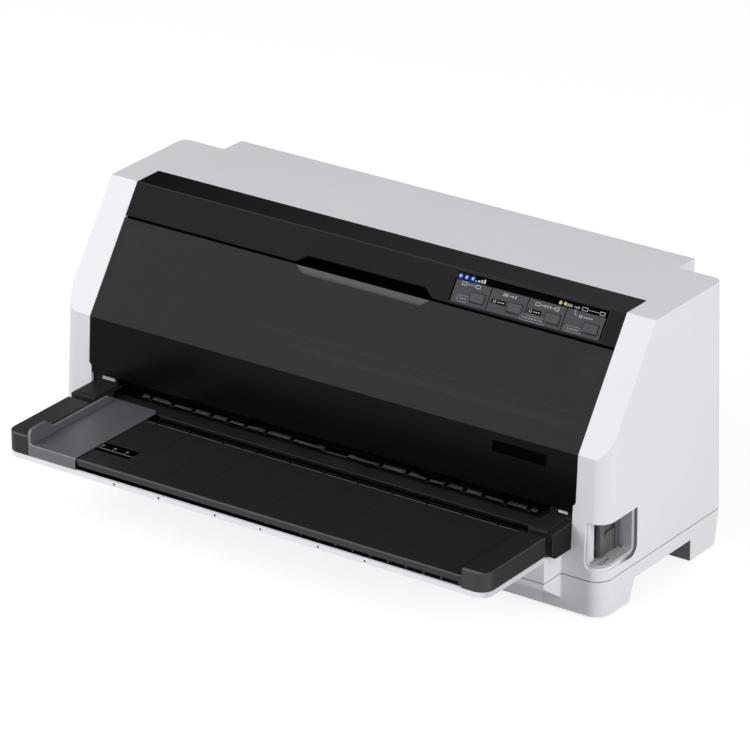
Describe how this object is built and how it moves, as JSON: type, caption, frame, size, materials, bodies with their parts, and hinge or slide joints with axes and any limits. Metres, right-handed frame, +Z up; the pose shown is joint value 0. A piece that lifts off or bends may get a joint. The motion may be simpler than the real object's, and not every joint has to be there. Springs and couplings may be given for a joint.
{
  "type": "flatbed dot matrix printer",
  "caption": "Flatbed impact printer with a front paper table, a smoked hinged cover, an edge guide and a rear paper opening with tractors.",
  "frame": {"origin": "middle of the bounding box, at the underside of the rubber feet", "axes": "+X to the operator's right, +Y to the back, +Z up"},
  "size_m": [0.48, 0.28, 0.208],
  "materials": {
    "pale_case": "moulded plastic, fine grain",
    "black_case": "moulded plastic, fine grain",
    "smoked": "smoked transparent plastic",
    "grey_plastic": "moulded plastic",
    "dark_plastic": "moulded plastic",
    "blue_lamp": "clear lamp",
    "amber_lamp": "clear lamp",
    "board": "lacquered circuit board",
    "zinc_steel": "zinc plated sheet",
    "shaft_steel": "ground",
    "roller_rubber": "ground",
    "nylon": "natural nylon",
    "motor_case": "black",
    "head_metal": "dark cast",
    "ink_ribbon": "inked",
    "foot_rubber": "matt"
  },
  "bodies": {
    "case": {"lower_case": "pale_case", "upper_case": "pale_case", "top_panel": "black_case", "key_panel": "grey_plastic", "blue_lamps": "blue_lamp", "amber_lamps": "amber_lamp", "panel_board": "board", "table_shell": "pale_case", "table_deck": "black_case", "entry_guide": "dark_plastic", "lever_pocket": "grey_plastic", "base_plate": "zinc_steel", "side_frames": "zinc_steel", "front_rail": "zinc_steel", "paper_deck": "dark_plastic", "feed_motor": "motor_case", "carriage_shaft": "shaft_steel", "ribbon_cartridge": "dark_plastic", "ribbon": "ink_ribbon", "timing_belt": "roller_rubber", "carriage_motor": "motor_case", "tractor_guide_shaft": "shaft_steel", "main_board": "board", "power_supply": "zinc_steel", "mains_inlet": "dark_plastic", "cable_sockets": "dark_plastic", "rubber_feet": "foot_rubber"},
    "cover": {"printer_cover": "smoked"},
    "guide": {"edge_guide": "grey_plastic"},
    "lever": {"release_lever": "dark_plastic"},
    "tear_off": {"tear_off_key": "grey_plastic"},
    "line_feed": {"line_feed_key": "grey_plastic"},
    "load": {"load_key": "grey_plastic"},
    "pause": {"pause_key": "grey_plastic"},
    "switch": {"power_switch": "dark_plastic"},
    "front_feed": {"front_feed_roller": "roller_rubber", "front_roller_gear": "nylon"},
    "front_pinch": {"front_pinch_rollers": "roller_rubber"},
    "platen_roller": {"platen": "roller_rubber", "platen_gear": "nylon"},
    "rear_feed": {"rear_feed_roller": "roller_rubber", "rear_roller_gear": "nylon"},
    "rear_pinch": {"rear_pinch_rollers": "roller_rubber"},
    "tractor_drive": {"tractor_drive_shaft": "shaft_steel", "tractor_gear": "nylon"},
    "front_idler": {"front_idler_gear": "nylon"},
    "middle_idler": {"middle_idler_gear": "nylon"},
    "rear_idler": {"rear_idler_gear": "nylon"},
    "pinion": {"motor_pinion": "shaft_steel"},
    "head_carriage": {"carriage": "dark_plastic", "print_head": "head_metal"},
    "belt_drive": {"drive_pulley": "shaft_steel"},
    "belt_idler": {"idler_pulley": "nylon"},
    "knob": {"ribbon_knob": "grey_plastic"},
    "tractor_left": {"left_tractor": "dark_plastic"},
    "tractor_right": {"right_tractor": "dark_plastic"},
    "lid_left": {"left_tractor_lid": "dark_plastic"},
    "lid_right": {"right_tractor_lid": "dark_plastic"},
    "wheel_left": {"left_pin_wheel": "nylon"},
    "wheel_right": {"right_pin_wheel": "nylon"}
  },
  "joints": [
    {"name": "cover_hinge", "type": "hinge", "parent": "case", "child": "cover", "pos_m": [0, -0.02765, 0.094], "axis": [1, 0, 0], "range_deg": [0, 110]},
    {"name": "guide_slide", "type": "slide", "parent": "case", "child": "guide", "axis": [1, 0, 0], "range_m": [0, 0.03]},
    {"name": "lever_hinge", "type": "hinge", "parent": "case", "child": "lever", "pos_m": [0.221, -0.00765, 0.097], "axis": [-1, 0, 0], "range_deg": [0, 8]},
    {"name": "tear_off_press", "type": "slide", "parent": "case", "child": "tear_off", "axis": [0, 0.8219, -0.5696], "range_m": [0, 0.0008], "stiffness_N_per_m": 300, "springref_m": -0.0005},
    {"name": "line_feed_press", "type": "slide", "parent": "case", "child": "line_feed", "axis": [0, 0.8219, -0.5696], "range_m": [0, 0.0008], "stiffness_N_per_m": 300, "springref_m": -0.0005},
    {"name": "load_press", "type": "slide", "parent": "case", "child": "load", "axis": [0, 0.8219, -0.5696], "range_m": [0, 0.0008], "stiffness_N_per_m": 300, "springref_m": -0.0005},
    {"name": "pause_press", "type": "slide", "parent": "case", "child": "pause", "axis": [0, 0.8219, -0.5696], "range_m": [0, 0.0008], "stiffness_N_per_m": 300, "springref_m": -0.0005},
    {"name": "switch_rock", "type": "hinge", "parent": "case", "child": "switch", "pos_m": [-0.217, 0.11525, 0.13], "axis": [-1, 0, 0], "range_deg": [0, 14]},
    {"name": "platen_spin", "type": "hinge", "parent": "case", "child": "platen_roller", "pos_m": [0, 0.02136, 0.049], "axis": [1, 0, 0], "continuous": true},
    {"name": "front_feed_spin", "type": "hinge", "parent": "case", "child": "front_feed", "pos_m": [0, -0.01995, 0.0566], "axis": [1, 0, 0], "continuous": true},
    {"name": "front_pinch_spin", "type": "hinge", "parent": "case", "child": "front_pinch", "pos_m": [0, -0.01995, 0.0681], "axis": [1, 0, 0], "continuous": true},
    {"name": "rear_feed_spin", "type": "hinge", "parent": "case", "child": "rear_feed", "pos_m": [0, 0.06266, 0.0566], "axis": [1, 0, 0], "continuous": true},
    {"name": "rear_pinch_spin", "type": "hinge", "parent": "case", "child": "rear_pinch", "pos_m": [0, 0.06266, 0.0681], "axis": [1, 0, 0], "continuous": true},
    {"name": "tractor_drive_spin", "type": "hinge", "parent": "case", "child": "tractor_drive", "pos_m": [0, 0.10466, 0.0566], "axis": [1, 0, 0], "continuous": true},
    {"name": "front_idler_spin", "type": "hinge", "parent": "case", "child": "front_idler", "pos_m": [-0.203, 0.0007, 0.0528], "axis": [1, 0, 0], "continuous": true},
    {"name": "middle_idler_spin", "type": "hinge", "parent": "case", "child": "middle_idler", "pos_m": [-0.203, 0.04201, 0.0528], "axis": [1, 0, 0], "continuous": true},
    {"name": "rear_idler_spin", "type": "hinge", "parent": "case", "child": "rear_idler", "pos_m": [-0.203, 0.08366, 0.0566], "axis": [1, 0, 0], "continuous": true},
    {"name": "pinion_spin", "type": "hinge", "parent": "case", "child": "pinion", "pos_m": [-0.203, 0.07767, 0.04176], "axis": [1, 0, 0], "continuous": true},
    {"name": "carriage_slide", "type": "slide", "parent": "case", "child": "head_carriage", "axis": [1, 0, 0], "range_m": [0, 0.3]},
    {"name": "drive_pulley_spin", "type": "hinge", "parent": "case", "child": "belt_drive", "pos_m": [-0.1801, 0.08036, 0.089], "axis": [0, 0, 1], "continuous": true},
    {"name": "idler_pulley_spin", "type": "hinge", "parent": "case", "child": "belt_idler", "pos_m": [0.1801, 0.08036, 0.089], "axis": [0, 0, 1], "continuous": true},
    {"name": "knob_turn", "type": "hinge", "parent": "case", "child": "knob", "pos_m": [-0.17, 0.04936, 0.148], "axis": [0, 0, 1], "continuous": true},
    {"name": "left_tractor_slide", "type": "slide", "parent": "case", "child": "tractor_left", "axis": [1, 0, 0], "range_m": [0, 0.06]},
    {"name": "right_tractor_slide", "type": "slide", "parent": "case", "child": "tractor_right", "axis": [-1, 0, 0], "range_m": [0, 0.06]},
    {"name": "left_lid_hinge", "type": "hinge", "parent": "tractor_left", "child": "lid_left", "pos_m": [-0.159, 0.10466, 0.0643], "axis": [0, -1, 0], "range_deg": [0, 110]},
    {"name": "right_lid_hinge", "type": "hinge", "parent": "tractor_right", "child": "lid_right", "pos_m": [0.159, 0.10466, 0.0643], "axis": [0, 1, 0], "range_deg": [0, 110]},
    {"name": "left_wheel_spin", "type": "hinge", "parent": "tractor_left", "child": "wheel_left", "pos_m": [-0.15, 0.10466, 0.0566], "axis": [1, 0, 0], "continuous": true},
    {"name": "right_wheel_spin", "type": "hinge", "parent": "tractor_right", "child": "wheel_right", "pos_m": [0.15, 0.10466, 0.0566], "axis": [1, 0, 0], "continuous": true}
  ],
  "couplings": [
    {"joint": "front_feed_spin", "follows": "platen_spin", "ratio": 1},
    {"joint": "rear_feed_spin", "follows": "platen_spin", "ratio": 1},
    {"joint": "tractor_drive_spin", "follows": "platen_spin", "ratio": 1},
    {"joint": "left_wheel_spin", "follows": "platen_spin", "ratio": 1},
    {"joint": "right_wheel_spin", "follows": "platen_spin", "ratio": 1},
    {"joint": "front_idler_spin", "follows": "platen_spin", "ratio": -1.3333},
    {"joint": "middle_idler_spin", "follows": "platen_spin", "ratio": -1.3333},
    {"joint": "rear_idler_spin", "follows": "platen_spin", "ratio": -1.3333},
    {"joint": "pinion_spin", "follows": "platen_spin", "ratio": 1.7143},
    {"joint": "front_pinch_spin", "follows": "platen_spin", "ratio": -1.4348},
    {"joint": "rear_pinch_spin", "follows": "platen_spin", "ratio": -1.4348},
    {"joint": "drive_pulley_spin", "follows": "carriage_slide", "rad_per_m": 116.28},
    {"joint": "idler_pulley_spin", "follows": "carriage_slide", "rad_per_m": 116.28}
  ]
}
